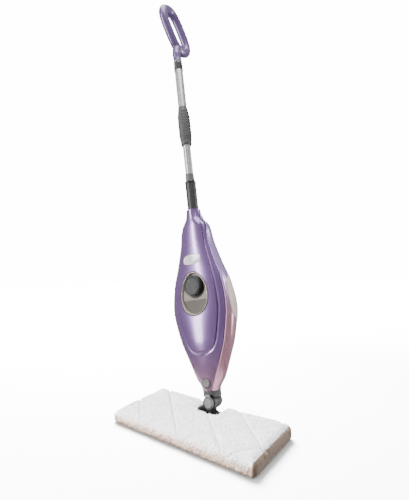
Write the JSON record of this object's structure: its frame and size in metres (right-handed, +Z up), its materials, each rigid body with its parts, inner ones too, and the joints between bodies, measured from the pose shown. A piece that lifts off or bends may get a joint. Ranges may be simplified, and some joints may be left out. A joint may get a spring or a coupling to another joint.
{
  "type": "steam mop",
  "caption": "Upright steam mop: quilted cloth pad on a flat head, two-way swivel, leaf-shaped steam body, two-piece pole and loop handle.",
  "frame": {"origin": "on the floor, at the middle of the sole of the cloth pad", "axes": "+Z up; +X along the long side of the head; -Y is the front, the side with the filler knob. The body leans 7.5 degrees back (+Y) and 12.8 degrees sideways (-X) at rest."},
  "size_m": [0.3985, 0.3051, 1.0257],
  "materials": {
    "lavender_plastic": "gloss, slightly metallic",
    "purple_plastic": "gloss",
    "dark_grey_plastic": "satin",
    "black_plastic": "satin",
    "mid_grey_plastic": "fine grain",
    "light_grey_plastic": "satin",
    "beige_grey_plastic": "satin",
    "frosted_window": "frosted, lets light through",
    "tank_plastic": "milky",
    "bright_tube": "polished",
    "boiler_casting": "as cast",
    "steel": "bright",
    "brass": "turned",
    "terry_cloth": "looped pile, quilted",
    "rubber": "matt"
  },
  "bodies": {
    "head": {"mop_pad": "terry_cloth", "head_base_plate": "dark_grey_plastic", "head_cover": "dark_grey_plastic", "head_screw_1": "steel", "head_screw_2": "steel", "head_screw_3": "steel", "head_screw_4": "steel", "steam_manifold": "mid_grey_plastic", "swivel_saddle": "black_plastic", "pitch_pin": "steel"},
    "knuckle": {"swivel_knuckle": "dark_grey_plastic", "roll_pin": "steel"},
    "filler_plug": {"filler_plug": "dark_grey_plastic", "filler_seal": "rubber"},
    "filler_knob": {"filler_knob": "mid_grey_plastic"},
    "release_button": {"release_button": "beige_grey_plastic"},
    "pole": {"pump_tube": "dark_grey_plastic", "pump_piston": "mid_grey_plastic", "pole_flange": "black_plastic", "small_collar": "mid_grey_plastic", "lower_tube": "bright_tube"},
    "upper_pole": {"upper_tube": "bright_tube", "grip_sleeve": "mid_grey_plastic", "grip_strip": "black_plastic", "sleeve_bush": "dark_grey_plastic", "top_collar": "dark_grey_plastic", "handle_left": "purple_plastic", "handle_right": "purple_plastic", "latch_spring": "steel"},
    "latch_button": {"latch_button": "dark_grey_plastic"},
    "body": {"boiler": "boiler_casting", "button_bezel": "dark_grey_plastic", "button_spring": "steel", "cord_gland": "rubber", "filler_neck": "light_grey_plastic", "front_shell": "lavender_plastic", "neck_collar": "dark_grey_plastic", "neck_fork": "black_plastic", "oval_bezel": "beige_grey_plastic", "oval_panel": "beige_grey_plastic", "pin_cover_front": "light_grey_plastic", "pin_cover_rear": "black_plastic", "pole_guide": "dark_grey_plastic", "pump_spring": "steel", "rear_shell": "lavender_plastic", "roll_bush_front": "brass", "roll_bush_rear": "brass", "steam_hose": "rubber", "tank_window_left": "frosted_window", "tank_window_right": "frosted_window", "terminal_block": "light_grey_plastic", "thermostat": "black_plastic", "water_hose": "rubber", "water_pump": "mid_grey_plastic", "water_tank": "tank_plastic"}
  },
  "joints": [
    {"name": "head_pitch", "type": "hinge", "parent": "head", "child": "knuckle", "pos_m": [0, 0.04926, 0.01918], "axis": [1, 0, 0], "range_deg": [-37.5, 7.5]},
    {"name": "body_roll", "type": "hinge", "parent": "knuckle", "child": "body", "pos_m": [0, 0.052, 0.04], "axis": [0, 0.9914, -0.1305], "range_deg": [-27.2, 52.8]},
    {"name": "pump_stroke", "type": "slide", "parent": "body", "child": "pole", "axis": [-0.2215, 0.1273, 0.9668], "range_m": [-0.022, 0], "stiffness_N_per_m": 400, "springref_m": 0.02, "deforming": ["pump_spring"]},
    {"name": "cap_lift", "type": "slide", "parent": "body", "child": "filler_plug", "axis": [0, -0.9914, 0.1305], "range_m": [0, 0.03]},
    {"name": "cap_turn", "type": "hinge", "parent": "filler_plug", "child": "filler_knob", "pos_m": [-0.0545, 0.08331, 0.27783], "axis": [0, -0.9914, 0.1305], "range_deg": [0, 90]},
    {"name": "release_press", "type": "slide", "parent": "body", "child": "release_button", "axis": [0, 0.9914, -0.1305], "range_m": [0, 0.003], "stiffness_N_per_m": 300, "springref_m": -0.004, "deforming": ["button_spring"]},
    {"name": "pole_pull", "type": "slide", "parent": "pole", "child": "upper_pole", "axis": [-0.2215, 0.1273, 0.9668], "range_m": [0, 0.045]},
    {"name": "latch_press", "type": "slide", "parent": "upper_pole", "child": "latch_button", "axis": [0, -0.9914, 0.1305], "range_m": [0, 0.0018], "stiffness_N_per_m": 300, "springref_m": -0.004, "deforming": ["latch_spring"]}
  ]
}
